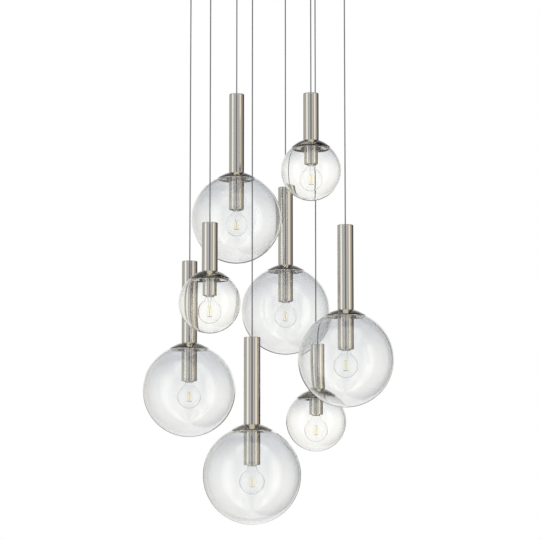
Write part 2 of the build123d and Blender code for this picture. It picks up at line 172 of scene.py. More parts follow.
@labelled
class BulbSizes(PropertyGroup):
    """Sizes of a clear globe bulb with straight light-emitting rods."""

    wall: mm("Thickness of the bulb's glass", 0.8)
    neck: mm("Radius of the bulb's neck", 14)
    glass_length: mm("From the bulb's foot to its neck's end", 86)
    base: mm("Radius of the screw base", 13.1)
    base_length: mm("Length of the screw base with its tip", 25)
    collar: mm("Length of the base's plain collar on the glass", 5.5)
    tip: mm("Radius of the contact at the base's end", 5)
    tip_height: mm("Height of the base's tapered end", 4)
    thread_pitch: mm("Pitch of the base's rolled thread", 3.6)
    thread_depth: mm("Depth of the base's rolled thread", 0.7)
    flare: mm("Radius of the glass stem where it joins the neck", 8)
    stem: mm("Radius of the glass stem at its tip", 3.5)
    stem_length: mm("Length of the glass stem inside the bulb", 31)
    disc: mm("Radius of the pressed disc on the glass stem", 6.5)
    disc_height: mm("Thickness of the pressed disc", 1.2)
    wire: mm("Radius of the support wires", 0.5)
    rod: mm("Radius of a light-emitting rod", 1.2)
    rod_drop: mm("Height of a leaning rod", 30)
    rod_top: mm("Radius of the circle of the rods' upper ends", 5)
    rod_foot: mm("Radius of the circle of the rods' lower ends", 10.5)
    rod_gap: mm("Clearance at each end of a rod", 0.2)
    rods: setting(IntProperty, "Number of light-emitting rods", 4, min=3)


@labelled
class Finishes(PropertyGroup):
    """Colours of the surfaces."""

    nickel: colour("Polished nickel plate", 0.66, 0.64, 0.605)
    zinc: colour("Zinc-plated steel", 0.5, 0.51, 0.54)
    brass: colour("Brass of the nuts and the lamp pipe", 0.72, 0.56, 0.3)
    glass: colour("Clear glass of the large globes", 0.955, 0.962, 0.958)
    # Painted shade: the tone that darkens each globe's glass towards its top, round its hole under the cap.
    glass_shoulder: colour("Thicker glass round the hole of a globe", 0.85, 0.862, 0.878)
    small_glass: colour("Clear glass of the small globes", 1.0, 0.998, 0.985)
    bulb_glass: colour("Thin clear glass of the bulbs", 1.0, 1.0, 1.0)
    cord: colour("Grey jacket of the cords", 0.14, 0.145, 0.16)
    nylon: colour("Natural nylon of the ball bushings", 0.78, 0.77, 0.72)
    porcelain: colour("Glazed porcelain of the lampholders", 0.8, 0.79, 0.76)
    phosphor: colour("Yellow coating of the light-emitting rods", 0.95, 0.8, 0.25)
    floor: colour("Pale floor of the studio", 0.86, 0.86, 0.86)


@labelled
class StudioSettings(PropertyGroup):
    """The camera, the lamps and the surroundings that metal and glass reflect."""

    lens: amount("Focal length on a 36 mm sensor", 130.44, "CAMERA")
    camera_pitch: amount("How far the camera looks up", radians(6.5), "ROTATION")
    camera_place: setting(
        FloatVectorProperty, "Where the camera stands", (0.02, -6.4166, -1.8098), unit="LENGTH"
    )
    floor_height: mm("Height of the studio's floor under the ceiling", -2620)
    side_lamps: amount("Power of each of the two side lamps", 30, "POWER")
    upper_lamp: amount("Power of the lamp overhead", 18, "POWER")
    ambient: setting(FloatProperty, "Strength of the light from all round", 0.92, min=0, max=1, subtype="FACTOR")
    tent_radius: mm("Radius of the toned tent that metal and glass reflect", 9000)
    tent_strength: amount("Strength of the tent's tones", 2)
    inside_lift: amount("Added strength of reflections seen through glass", 0.35)


class ClusterPendant(PropertyGroup):
    """All settings of the cluster pendant."""

    canopy: PointerProperty(type=CanopySizes)
    cords: PointerProperty(type=CordSizes)
    pendant: PointerProperty(type=PendantSizes)
    bulb: PointerProperty(type=BulbSizes)
    finishes: PointerProperty(type=Finishes)
    studio: PointerProperty(type=StudioSettings)


def settings():
    return bpy.context.scene.cluster_pendant


# ---- Places, read from the frame ----


def settled(value):
    """A size from the frame, to a twentieth of a millimetre, clear of the facets' error."""
    return round(value * 20000) / 20000


class Form:
    """One pendant. Its place is the foot of its stem, and its heights are measured from there."""

    def __init__(self, number, sizes):
        pieces = ("stem", "cap", "glass_globe", "socket_cup", "bulb")
        boxes = [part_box(f"{piece}_{number}") for piece in pieces]
        low, high = boxes[0]
        stem, cap, globe, cup, bulb = [settled((end.x - start.x) / 2) for start, end in boxes]
        self.number = number
        self.place = Vector((settled((low.x + high.x) / 2), settled((low.y + high.y) / 2), low.z))
        self.stem_radius, self.globe_radius, self.cup_radius, self.bulb_radius = stem, globe, cup, bulb
        self.stem_top = settled(high.z - low.z)
        self.globe, self.cup_bottom, self.bulb_bottom = (start.z - low.z for start, end in boxes[2:])
        self.globe += globe
        self.kind = "large" if globe > LARGE_GLOBE else "small"
        rise = getattr(sizes, f"{self.kind}_rise")
        self.rim = -rise
        self.cap_centre = self.rim + (stem**2 + rise**2 - cap**2) / (2 * rise)
        self.cap_sphere = sqrt(cap**2 + (self.rim - self.cap_centre) ** 2)
        inside = globe - sizes.glass_wall
        self.retainer = self.globe + sqrt(inside**2 - sizes.clip_reach**2) - sizes.glass_gap
        self.holder_bottom = self.cup_bottom + sizes.holder_recess
        self.holder_top = self.holder_bottom + sizes.holder_length
        self.pipe_bottom = self.holder_top - sizes.holder_thread


def forms():
    """Every pendant's form, in order."""
    return [Form(number, settings().pendant) for number in PENDANTS]


def kinds():
    """One form of each kind, with the numbers and places of all pendants of that kind."""
    every = forms()
    for kind in ("large", "small"):
        same = [form for form in every if form.kind == kind]
        yield same[0], [(form.number, form.place) for form in same]


def canopy_size():
    """The canopy's radius and its depth."""
    low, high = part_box("canopy_pan")
    return settled(high.x), -low.z


def pivot_height():
    return -canopy_size()[1] - settings().canopy.pivot_depth


def on_cords(above_pivot=0):
    """Numbered places on the cords, this far above the centres of their balls."""
    return [(f.number, Vector((f.place.x, f.place.y, pivot_height() + above_pivot))) for f in forms()]


# ---- Modelling ----


def deselect():
    """Leaves edit mode and selects nothing."""
    if bpy.context.object and bpy.context.object.mode != "OBJECT":
        bpy.ops.object.mode_set(mode="OBJECT")
    bpy.ops.object.select_all(action="DESELECT")


def only(piece):
    """Selects this piece alone and makes it active."""
    deselect()
    piece.select_set(True)
    bpy.context.view_layer.objects.active = piece


def discard(piece):
    """Deletes a piece that has done its work."""
    only(piece)
    bpy.ops.object.delete()


def named(name):
    """The active object, with its new name on it and on its mesh."""
    piece = bpy.context.object
    piece.name = piece.data.name = name
    return piece


def arc(centre, radius, start, end, steps):
    """Points on a circle about (radius, height) centre, between two angles in radians."""
    angles = [start + (end - start) * step / steps for step in range(steps + 1)]
    return [(centre[0] + radius * cos(a), centre[1] + radius * sin(a)) for a in angles]


def turned(outline, steps, closed=True):
    """A piece turned about the Z axis from (radius, height) points. An open outline ends on the axis."""
    deselect()
    bpy.ops.mesh.primitive_plane_add(size=0.01, location=(0, 0, 0))
    bpy.ops.object.mode_set(mode="EDIT")
    bpy.ops.mesh.select_mode(type="VERT")
    bpy.ops.mesh.select_all(action="SELECT")
    bpy.ops.mesh.merge(type="CENTER")
    last = outline[0]
    bpy.ops.transform.translate(value=(last[0], 0, last[1]))
    for point in outline[1:] + outline[:1] * closed:
        step = (point[0] - last[0], 0, point[1] - last[1])
        bpy.ops.mesh.extrude_vertices_move(TRANSFORM_OT_translate={"value": step})
        last = point
    bpy.ops.mesh.select_all(action="SELECT")
    bpy.ops.mesh.remove_doubles(threshold=WELD)
    bpy.ops.mesh.spin(steps=steps, angle=tau, center=(0, 0, 0), axis=(0, 0, 1))
    bpy.ops.mesh.select_all(action="SELECT")
    bpy.ops.mesh.remove_doubles(threshold=WELD)
    bpy.ops.mesh.normals_make_consistent(inside=False)
    bpy.ops.object.mode_set(mode="OBJECT")
    return bpy.context.object


def modified(piece, kind, **values):
    """A piece with a modifier of this kind applied to it."""
    only(piece)
    modifier = piece.modifiers.new("change", kind)
    for name, value in values.items():
        setattr(modifier, name, value)
    bpy.ops.object.modifier_apply(modifier=modifier.name)
    return piece


def bevelled(piece, width, angle=30, segments=2):
    """Rounds every edge sharper than the angle."""
    return modified(
        piece, "BEVEL", width=width, segments=segments, limit_method="ANGLE", angle_limit=radians(angle),
        harden_normals=False,
    )


def cut(piece, tool, operation="DIFFERENCE"):
    """Cuts a piece with a tool, and throws the tool away."""
    modified(piece, "BOOLEAN", operation=operation, solver="EXACT", object=tool)
    discard(tool)
    return piece


def joined(pieces):
    """One object of several pieces."""
    deselect()
    for piece in pieces:
        piece.select_set(True)
    bpy.context.view_layer.objects.active = pieces[0]
    bpy.ops.object.join()
    return bpy.context.object


def smooth(piece, angle=35):
    only(piece)
    bpy.ops.object.shade_smooth_by_angle(angle=radians(angle))
    return piece


def lathed(outline, steps, edge=0, sharp=30, smooth_below=35, segments=2, closed=True):
    """A smooth turned piece. Where an edge radius is given, every edge sharper than the angle is rounded."""
    piece = turned(outline, steps, closed)
    return smooth(bevelled(piece, edge, sharp, segments) if edge else piece, smooth_below)


def moved(piece, place):
    """Moves the mesh, so that the object stays at the origin."""
    piece.data.transform(Matrix.Translation(place))
    return piece


def cylinder(radius, low, high, x=0.0, y=0.0, steps=48):
    """An upright rod between two heights."""
    deselect()
    bpy.ops.mesh.primitive_cylinder_add(
        vertices=steps, radius=radius, depth=high - low, location=(x, y, (low + high) / 2)
    )
    bpy.ops.object.transform_apply(location=True, rotation=True, scale=True)
    return bpy.context.object


def hex_nut(width, height, bore):
    """A hexagon nut on the origin, with its corners turned off and its bore cut."""
    corner = width / cos(pi / 6) / 2
    nut = cylinder(corner, 0, height, steps=6)
    reach, flat = corner + PASSAGE, width / 2 * 0.96
    slope = (reach - flat) * 0.5
    lens = [(0, 0), (flat, 0), (reach, slope), (reach, height - slope), (flat, height), (0, height)]
    cut(nut, turned(lens, 48, closed=False), "INTERSECT")
    return smooth(cut(nut, cylinder(bore, -height, 2 * height)), 25)


def round_about(start, count):
    """Angles at equal steps round the axis."""
    return [start + turn * tau / count for turn in range(count)]


def thread(low, high, crest, root, pitch):
    """Points up a screw thread, which begins at its root."""
    points = []
    for turn in range(int((high - low) / pitch)):
        points += [(crest, low + (turn + 0.5) * pitch), (root, low + (turn + 1) * pitch)]
    return points


def end_on_axis(outline):
    """Puts both ends of an outline on the axis, clear of the rounding of sines."""
    return [(0, outline[0][1]), *outline[1:-1], (0, outline[-1][1])]


def remember_place(piece):
    """Keeps each point's place on the piece's own axis, for patterns that follow the turning."""
    mesh = piece.data
    places = [0.0] * (3 * len(mesh.vertices))
    mesh.vertices.foreach_get("co", places)
    mesh.attributes.new("turned_place", "FLOAT_VECTOR", "POINT").data.foreach_set("vector", places)


def dressed(piece, body, coat, slot, node):
    """Gives a finished piece its material and its body, and hides the CAD node that it stands for. The slot is not
    used.
    """
    piece.data.materials.clear()
    piece.data.materials.append(finish(coat))
    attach(piece, body)
    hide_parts(node)


def placed(master, name, places, coat, slot, node, body="pendant_{}"):
    """Turns a finished piece into copies at numbered places, each with its own mesh and dressed for its body."""
    remember_place(master)
    for number, place in places:
        piece = master.copy()
        piece.data = master.data.copy()
        piece.name = piece.data.name = f"{name}_{number}"
        bpy.context.collection.objects.link(piece)
        dressed(moved(piece, place), body.format(number), coat, slot, node.format(number))
    discard(master)


# ---- Materials ----

MARKS_CONTRAST = 1.6
METAL_SMUDGES = 14.0  # the size of the smudges on metal
MARKS_SHARE, SMUDGES_SHARE = 0.65, 0.35  # of a metal's roughness


def fill(tree, socket, value):
    """Sets an input, or links it where the value is a socket."""
    if isinstance(value, NodeSocket):
        tree.links.new(value, socket)
    else:
        socket.default_value = value


def feed(tree, node, **inputs):
    """Fills a node's inputs by name."""
    for name, value in inputs.items():
        fill(tree, node.inputs[name.replace("_", " ")], value)


def wired(tree, kind, *values, out=0, **options):
    """One output of a new node. Values fill its inputs in order, and options fill them by name where they
    begin with a capital. The other options are the node's settings."""
    node = tree.nodes.new(f"ShaderNode{kind}")
    for name, value in options.items():
        if name[0].islower():
            setattr(node, name, value)
        else:
            feed(tree, node, **{name: value})
    for socket, value in zip(node.inputs, values):
        fill(tree, socket, value)
    return node.outputs[out]


def maths(tree, operation, *values):
    return wired(tree, "Math", *values, operation=operation)


def mixed(tree, blend, factor, first, second):
    """Two colours, mixed or multiplied."""
    return wired(
        tree, "Mix", out="Result", data_type="RGBA", blend_type=blend, Factor=factor, A=first, B=second
    )


def axes(tree, place):
    """The X, Y and Z of a place."""
    return wired(tree, "SeparateXYZ", place).node.outputs


def own_place(tree):
    return wired(tree, "TexCoord", out="Object")


def turned_place(tree):
    return wired(tree, "Attribute", out="Vector", attribute_name="turned_place")


def mask_group(name, paint, *inputs):
    """A node group that puts out a mask, made once. Its inputs are numbers, but for the place."""
    if name in bpy.data.node_groups:
        return bpy.data.node_groups[name]
    group = bpy.data.node_groups.new(name, "ShaderNodeTree")
    for label in inputs:
        kind = "NodeSocketVector" if label == "Place" else "NodeSocketFloat"
        group.interface.new_socket(label, in_out="INPUT", socket_type=kind)
    group.interface.new_socket("Mask", in_out="OUTPUT", socket_type="NodeSocketFloat")
    given = group.nodes.new("NodeGroupInput").outputs
    group.links.new(paint(group, given), group.nodes.new("NodeGroupOutput").inputs["Mask"])
    return group


def paint_marks(group, given):
    """Fine marks that a lathe or a drawing die leaves: a mask that varies along and round the piece."""
    x, y, z = axes(group, given["Place"])
    squares = [maths(group, "MULTIPLY", side, side) for side in (x, y)]
    radius = maths(group, "SQRT", maths(group, "ADD", *squares))
    safe = maths(group, "MAXIMUM", radius, 1e-5)  # no division by zero on the axis
    turns = [
        maths(group, "MULTIPLY", maths(group, "DIVIDE", side, safe), given["Around"]) for side in (x, y)
    ]
    along = maths(group, "MULTIPLY", z, given["Along"])
    outward = maths(group, "MULTIPLY", radius, given["Along"])
    noise = wired(
        group, "TexNoise", noise_dimensions="4D", Vector=wired(group, "CombineXYZ", *turns, along), W=outward,
        Scale=1.0, Detail=3.0,
    )
    return maths(group, "MULTIPLY_ADD", maths(group, "SUBTRACT", noise, 0.5), given["Contrast"], 0.5)


def paint_smudges(group, given):
    """Soft blotches, as handling and plating leave: a mask that varies slowly over the surface."""
    noise = wired(group, "TexNoise", Vector=own_place(group), Scale=given["Size"], Detail=4.0, Roughness=0.6)
    return wired(group, "MapRange", Value=noise, From_Min=0.3, From_Max=0.7)


def tool_marks(tree, around, along):
    group = mask_group("tool_marks", paint_marks, "Place", "Around", "Along", "Contrast")
    return wired(
        tree, "Group", out="Mask", node_tree=group, Place=turned_place(tree), Around=around, Along=along,
        Contrast=MARKS_CONTRAST,
    )


def smudges(tree, size):
    group = mask_group("smudges", paint_smudges, "Size")
    return wired(tree, "Group", out="Mask", node_tree=group, Size=size)


def new_material(name):
    """The nodes and the main shader of a new material."""
    material = bpy.data.materials.new(name)
    material.use_nodes = True
    return material.node_tree, material.node_tree.nodes["Principled BSDF"]


def uneven(tree, shader, base, tint, tone, rough, low, high):
    """Varies a shader's colour, down to the tint, and its roughness by two masks."""
    dark = (*[c * tint for c in base], 1)
    feed(
        tree, shader, Base_Color=mixed(tree, "MIX", tone, dark, (*base, 1)),
        Roughness=wired(tree, "MapRange", Value=rough, To_Min=low, To_Max=high),
    )


def bump(tree, shader, height, strength, distance):
    relief = wired(tree, "Bump", Strength=strength, Distance=distance, Height=height)
    feed(tree, shader, Normal=relief)


def metal(name, base, low, high, around, along, tint):
    """Plated metal: its roughness and tone follow the tool marks, and its roughness the smudges."""
    tree, shader = new_material(name)
    marks = tool_marks(tree, around, along)
    rough = maths(tree, "MULTIPLY", marks, MARKS_SHARE)
    rough = maths(tree, "MULTIPLY_ADD", smudges(tree, METAL_SMUDGES), SMUDGES_SHARE, rough)
    uneven(tree, shader, base, tint, marks, rough, low, high)
    feed(tree, shader, Metallic=1.0)


def coated(name, base, low, high, size, tint, **others):
    """A plain coat of one colour, a little uneven in tone and gloss."""
    tree, shader = new_material(name)
    blotches = smudges(tree, size)
    uneven(tree, shader, base, tint, blotches, blotches, low, high)
    feed(tree, shader, **others)
    return tree, shader


def jacket(name, base, *values):
    """Smooth grey plastic with the faint cross ripple of an extruded jacket."""
    tree, shader = coated(name, base, *values)
    ripple = wired(
        tree, "TexWave", bands_direction="Z", Vector=own_place(tree), Scale=120.0, Distortion=1.5, Detail=1.0
    )
    bump(tree, shader, ripple, 0.15, 0.0002)


def clear_glass(name, base, wave_size, wave_depth, ior, fade_start=None, fade_end=None):
    """Clear blown glass with the slight waves of its making. It may take a painted shade, darker towards its top
    round its hole, with the shade fading in between two heights."""
    tree, shader = new_material(name)
    feed(tree, shader, Base_Color=(*base, 1), Transmission_Weight=1.0, IOR=ior, Roughness=0.0)
    waves = wired(tree, "TexNoise", Vector=own_place(tree), Scale=wave_size, Detail=1.0)
    bump(tree, shader, waves, 0.3, wave_depth)
    if fade_end is not None:
        # Painted shade: the glass darkens towards the top of the globe, round its hole under the cap, fading in
        # between the two heights.
        depth = wired(
            tree, "MapRange", interpolation_type="SMOOTHSTEP", Value=axes(tree, turned_place(tree))["Z"],
            From_Min=fade_start, From_Max=fade_end,
        )
        shoulder = (*settings().finishes.glass_shoulder, 1)
        feed(tree, shader, Base_Color=mixed(tree, "MIX", depth, (*base, 1), shoulder))


# How each material is made, the colour that it takes, and its values.
COATS = {
    # Roughness from and to, marks round and along the piece, and tone of the marks. On a drawn tube the
    # marks run along it, and on a spun or turned piece they run round it.
    "nickel_drawn": (metal, "nickel", 0.05, 0.11, 60.0, 3.0, 0.96),
    "nickel_spun": (metal, "nickel", 0.05, 0.12, 1.5, 900.0, 0.95),
    "zinc_plate": (metal, "zinc", 0.3, 0.45, 3.0, 120.0, 0.85),
    "brass": (metal, "brass", 0.2, 0.35, 2.0, 500.0, 0.85),
    # Roughness from and to, size of the smudges and their tone.
    "zinc_bar": (coated, "zinc", 0.3, 0.5, 45.0, 0.8),
    "nylon_natural": (coated, "nylon", 0.35, 0.5, 90.0, 0.88),
    "porcelain": (coated, "porcelain", 0.12, 0.22, 60.0, 0.94),
    "phosphor": (coated, "phosphor", 0.35, 0.5, 300.0, 0.8),
    "cord_jacket": (jacket, "cord", 0.4, 0.55, 40.0, 0.9),
    # Size and depth of the waves, index of refraction, and where the painted shade near the top of a globe begins
    # and is whole.
    "large_globe_glass": (clear_glass, "glass", 9.0, 0.0006, 1.5, -0.21, -0.02),
    "small_globe_glass": (clear_glass, "small_glass", 12.0, 0.0004, 1.38, -0.1, -0.02),
    "bulb_envelope_glass": (clear_glass, "bulb_glass", 30.0, 0.0001, 1.14),
}
COAT_INPUTS = {
    "zinc_bar": {"Metallic": 1.0},
    "nylon_natural": {"Subsurface_Weight": 0.3, "Subsurface_Scale": 0.002},
    "porcelain": {"Coat_Weight": 0.5},
    # Painted light: the rods glow faintly, in place of the lamp light that the glass round them holds back.
    "phosphor": {
        "Subsurface_Weight": 0.2, "Subsurface_Scale": 0.001, "Emission_Color": (1, 0.9, 0.5, 1),
        "Emission_Strength": 0.6,
    },
}


def finish(name):
    """The material of this name, made when it is first asked for."""
    if name not in bpy.data.materials:
        make, tone, *values = COATS[name]
        make(name, getattr(settings().finishes, tone), *values, **COAT_INPUTS.get(name, {}))
    return bpy.data.materials[name]


# ---- Stage ----

# The tent's tones: degrees round from behind the camera, and what is there. One number is a grey.
TENT_AROUND = [
    (-180, 0.45), (-150, 0.34, 0.33, 0.31), (-135, 0.28, 0.275, 0.26), (-108, 0.29, 0.285, 0.26),
    (-79, 0.31, 0.31, 0.29), (-70, 0.68, 0.68, 0.67), (-58, 0.7, 0.7, 0.69), (-50, 0.46, 0.46, 0.45),
    (-38, 0.27, 0.27, 0.275), (-30, 0.31, 0.31, 0.315), (-22, 0.4, 0.4, 0.405), (-12, 0.27, 0.275, 0.28),
    (-4, 0.11), (5, 0.11), (14, 0.34, 0.345, 0.35), (24, 0.4, 0.4, 0.405), (36, 0.23, 0.23, 0.225),
    (44, 0.42, 0.4, 0.36), (52, 0.66, 0.62, 0.53), (64, 0.62, 0.57, 0.48), (76, 0.27, 0.25, 0.22),
    (92, 0.25, 0.23, 0.21), (110, 0.13, 0.12, 0.11), (120, 0.015, 0.012, 0.01), (144, 0.015, 0.012, 0.01),
    (157, 0.4), (180, 0.45),
]
# The same from straight down to straight up.
TENT_UPWARD = [
    (-90, 1.0), (-66, 1.1), (-50, 1.1), (-20, 1.0), (21, 1.0), (31, 0.55, 0.55, 0.56), (44, 0.22, 0.22, 0.24),
    (90, 0.12, 0.12, 0.14),
]
# Panels over the tent: a tone, and for each side an axis, where the panel begins and where it is whole.
DARK_FLAG = ((0.05, 0.05, 0.05, 1), ("Y", 0.94, 0.955), ("Z", -0.3, -0.22), ("Z", 0.06, -0.02))
CREAM_WINDOW = (
    (0.6, 0.565, 0.47, 1), ("Y", -0.1, -0.25), ("Z", 0.4, 0.48), ("X", -0.6, -0.45), ("X", 0.6, 0.45)
)
STAGE_CENTRE = (0, 0, -1.2)


def ramp(tree, value, stops, share):
    """A colour ramp, whose positions are shares of its stops' angles."""
    colours = wired(tree, "ValToRGB", value)
    elements = colours.node.color_ramp.elements
    elements.remove(elements[-1])
    for index, (angle, *tone) in enumerate(stops):
        stop = elements.new(share(angle)) if index else elements[0]
        stop.position = share(angle)
        stop.color = (*(tone * 3 if len(tone) == 1 else tone), 1)
    return colours


def after(tree, depth):
    """1 for light that this kind of bounce has met on its way, and 0 for all other light."""
    return maths(tree, "GREATER_THAN", wired(tree, "LightPath", out=depth), 0.5)


def surface(tree, mask, first, second):
    """Ends a material with the first shader where the mask is 0 and the second where it is 1."""
    feed(tree, tree.nodes["Material Output"], Surface=wired(tree, "MixShader", mask, first, second))


class PENDANT_OT_stage(Operator):
    """Makes the camera, the lamps, the pale floor and the surroundings"""

    bl_idname = "pendant.stage"
    bl_label = "Stage"

    def execute(self, context):
        studio = settings().studio
        self.camera(context.scene, studio)
        self.lamps(studio)
        self.floor(studio)
        self.tent(studio)
        self.world(context.scene, studio)
        context.scene.view_settings.view_transform = "Standard"
        cycles = context.scene.cycles
        cycles.max_bounces = cycles.transmission_bounces = 24
        cycles.glossy_bounces = 8
        return {"FINISHED"}

    def camera(self, scene, studio):
        pitch = studio.camera_pitch
        up, back = (0, -sin(pitch), cos(pitch)), (0, -cos(pitch), -sin(pitch))
        deselect()
        bpy.ops.object.camera_add()
        camera = named("camera")
        turn = Matrix(((1, 0, 0), up, back)).transposed()
        camera.matrix_world = Matrix.Translation(Vector(studio.camera_place)) @ turn.to_4x4()
        camera.data.lens = studio.lens
        camera.data.sensor_width = 36
        camera.data.clip_end = 60
        scene.camera = camera

    def lamps(self, studio):
        for name, place, size, power in (
            ("lamp_left", (-3.2, -3.0, -0.2), 1.6, studio.side_lamps),
            ("lamp_right", (3.2, -2.6, -0.4), 1.6, studio.side_lamps),
            ("lamp_above", (0.3, -0.6, 2.2), 3.0, studio.upper_lamp),
        ):
            deselect()
            bpy.ops.object.light_add(type="AREA", location=place)
            lamp = named(name)
            lamp.data.shape = "SQUARE"
            lamp.data.size = size
            lamp.data.energy = power
            lamp.rotation_euler = (Vector(STAGE_CENTRE) - Vector(place)).to_track_quat("-Z", "Y").to_euler()
            lamp.visible_camera = lamp.visible_glossy = lamp.visible_transmission = False

    def floor(self, studio):
        """A pale floor, which a view from below looks through, and which reflections leave to the tent."""
        deselect()
        bpy.ops.mesh.primitive_plane_add(size=24, location=(0, 0, studio.floor_height))
        floor = named("floor")
        tree, shader = new_material("floor_paint")
        feed(tree, shader, Base_Color=(*settings().finishes.floor, 1), Roughness=0.9, Specular_IOR_Level=0.1)
        below = wired(tree, "NewGeometry", out="Backfacing")
        hidden = maths(tree, "MAXIMUM", below, after(tree, "Glossy Depth"))
        surface(tree, hidden, shader.outputs[0], wired(tree, "BsdfTransparent"))
        floor.data.materials.append(bpy.data.materials["floor_paint"])

    def tent(self, studio):
        """A tent of soft boxes and dark flags that only reflections show, also those inside glass."""
        deselect()
        bpy.ops.mesh.primitive_uv_sphere_add(
            segments=64, ring_count=32, radius=studio.tent_radius, location=STAGE_CENTRE
        )
        tent = named("tent")
        tree, shader = new_material("tent_cloth")
        tree.nodes.remove(shader)
        place = axes(tree, wired(tree, "VectorMath", own_place(tree), operation="NORMALIZE"))
        angle = maths(tree, "ARCTAN2", place["X"], maths(tree, "MULTIPLY", place["Y"], -1.0))
        turn = maths(tree, "MULTIPLY_ADD", angle, 1 / tau, 0.5)
        rise = maths(tree, "MULTIPLY_ADD", place["Z"], 0.5, 0.5)
        around = ramp(tree, turn, TENT_AROUND, lambda a: (a + 180) / 360)
        upward = ramp(tree, rise, TENT_UPWARD, lambda a: (sin(radians(a)) + 1) / 2)
        tones = mixed(tree, "MULTIPLY", 1.0, around, upward)
        for tone, *sides in (DARK_FLAG, CREAM_WINDOW):
            mask = 1.0
            for axis, start, whole in sides:
                side = wired(tree, "MapRange", Value=place[axis], From_Min=start, From_Max=whole)
                mask = maths(tree, "MULTIPLY", side, mask)
            tones = mixed(tree, "MIX", mask, tones, tone)
        inside = after(tree, "Transmission Depth")
        strength = maths(tree, "MULTIPLY_ADD", inside, studio.inside_lift, studio.tent_strength)
        glow = wired(tree, "Emission", Color=tones, Strength=strength)
        surface(tree, after(tree, "Glossy Depth"), wired(tree, "BsdfTransparent"), glow)
        tent.data.materials.append(bpy.data.materials["tent_cloth"])
        tent.visible_camera = tent.visible_diffuse = False
        tent.visible_shadow = tent.visible_volume_scatter = False

    def world(self, scene, studio):
        """White to the camera, to gloss and through glass, and a softer light on the object."""
        world = scene.world = bpy.data.worlds.new("studio")
        world.use_nodes = True
        tree = world.node_tree
        path = wired(tree, "LightPath").node.outputs
        seen = maths(tree, "MAXIMUM", path["Is Camera Ray"], path["Is Glossy Ray"])
        seen = maths(tree, "MAXIMUM", seen, path["Is Transmission Ray"])
        strength = wired(tree, "MapRange", Value=seen, To_Min=studio.ambient, To_Max=1.0)
        feed(tree, tree.nodes["Background"], Color=(1, 1, 1, 1), Strength=strength)


# ---- Cords ----


class PENDANT_OT_cords(Operator):
    """Makes the eight straight cords, from their tails in the canopy to their lampholders"""

    bl_idname = "pendant.cords"
    bl_label = "Cords"

    def execute(self, context):
        sizes, pivot = settings().cords, pivot_height()
        top = pivot + sizes.tail
        for form in forms():
            place, number = form.place, form.number
            stem_top, bottom = place.z + form.stem_top, place.z + form.pipe_bottom
            heights = (top, pivot, (pivot + stem_top) / 2, stem_top, place.z, bottom)
            cord = self.curve(f"hanging_cord_{number}", place, heights, sizes.radius)
            dressed(cord, f"pendant_{number}", "cord_jacket", "cord", f"cord_{number}")
        return {"FINISHED"}

    def curve(self, name, place, heights, radius):
        data = bpy.data.curves.new(name, "CURVE")
        data.dimensions = "3D"
        data.bevel_depth = radius
        data.bevel_resolution = 6
        data.resolution_u = 4
        data.use_fill_caps = True
        spline = data.splines.new("NURBS")
        spline.points.add(len(heights) - 1)
        for point, height in zip(spline.points, heights):
            point.co = (place.x, place.y, height, 1)
        spline.order_u = 3
        spline.use_endpoint_u = True
        cord = bpy.data.objects.new(name, data)
        bpy.context.collection.objects.link(cord)
        return cord


class PENDANT_OT_ferrules(Operator):
    """Makes the crimped ferrules on the cords, above the ball and under the stem's plug"""

    bl_idname = "pendant.ferrules"
    bl_label = "Ferrules"

    def execute(self, context):
        cords, sizes = settings().cords, settings().pendant
        high, outer, bore = cords.ferrule_height, cords.ferrule, cords.radius
        soft, groove, waist = 0.0004, high / 3, outer - cords.ferrule_waist
        outline = [
            (bore, 0), (outer - soft, 0), (outer, soft), (outer, groove), (waist, groove + soft),
            (waist, high - groove - soft), (outer, high - groove), (outer, high - soft), (outer - soft, high),
            (bore, high),
        ]
        upper = on_cords(settings().canopy.ball_half + cords.ferrule_gap)
        drop = sizes.plug_flange + sizes.plug_spigot + high
        lower = [(f.number, f.place + Vector((0, 0, f.stem_top - drop))) for f in forms()]
        for name, places in (("ferrule_upper", upper), ("ferrule_lower", lower)):
            placed(lathed(outline, 32), name, places, "zinc_plate", "zinc_steel", "cord_{}")
        return {"FINISHED"}


# ---- Canopy ----


